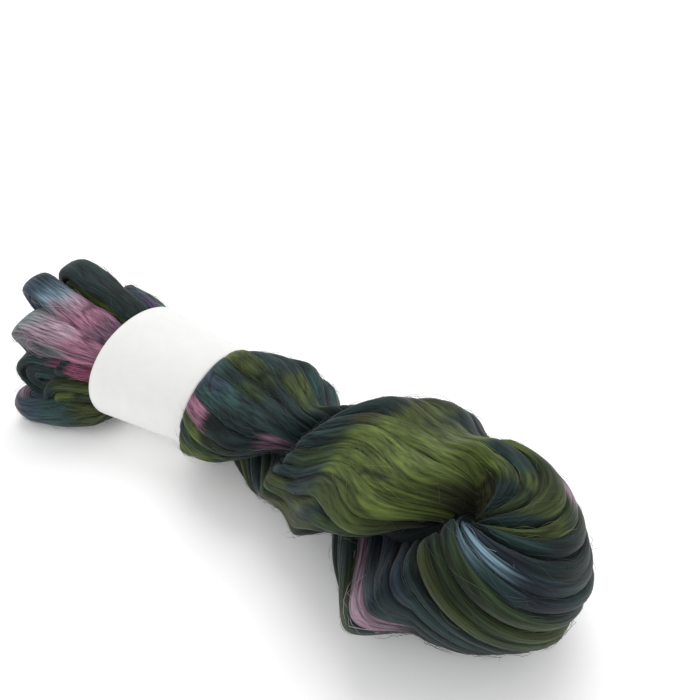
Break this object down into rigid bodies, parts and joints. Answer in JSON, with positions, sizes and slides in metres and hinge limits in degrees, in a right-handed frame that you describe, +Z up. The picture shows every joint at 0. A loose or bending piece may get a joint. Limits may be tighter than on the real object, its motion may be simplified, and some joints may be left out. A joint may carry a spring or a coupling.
{
  "type": "hank of cotton spinning fibre with a paper band",
  "caption": "Hank of dyed combed cotton top for hand spinning: a thick twisted rope with a rounded fold at one end, a plain paper band round its waist and open loops at the other end.",
  "frame": {"origin": "middle of the whole hank seen from above, on the surface that it lies on", "axes": "+X along the hank, from the open loops to the folded end; +Z up; the near side of the picture's view is -Y"},
  "size_m": [0.4232, 0.139, 0.1028],
  "materials": {
    "cotton_top": "soft combed cotton fibre, dyed olive, spruce green, slate blue and mauve",
    "band_paper": "matt white office paper"
  },
  "bodies": {
    "root": {"hank": "cotton_top", "paper_band": "band_paper"}
  },
  "joints": []
}
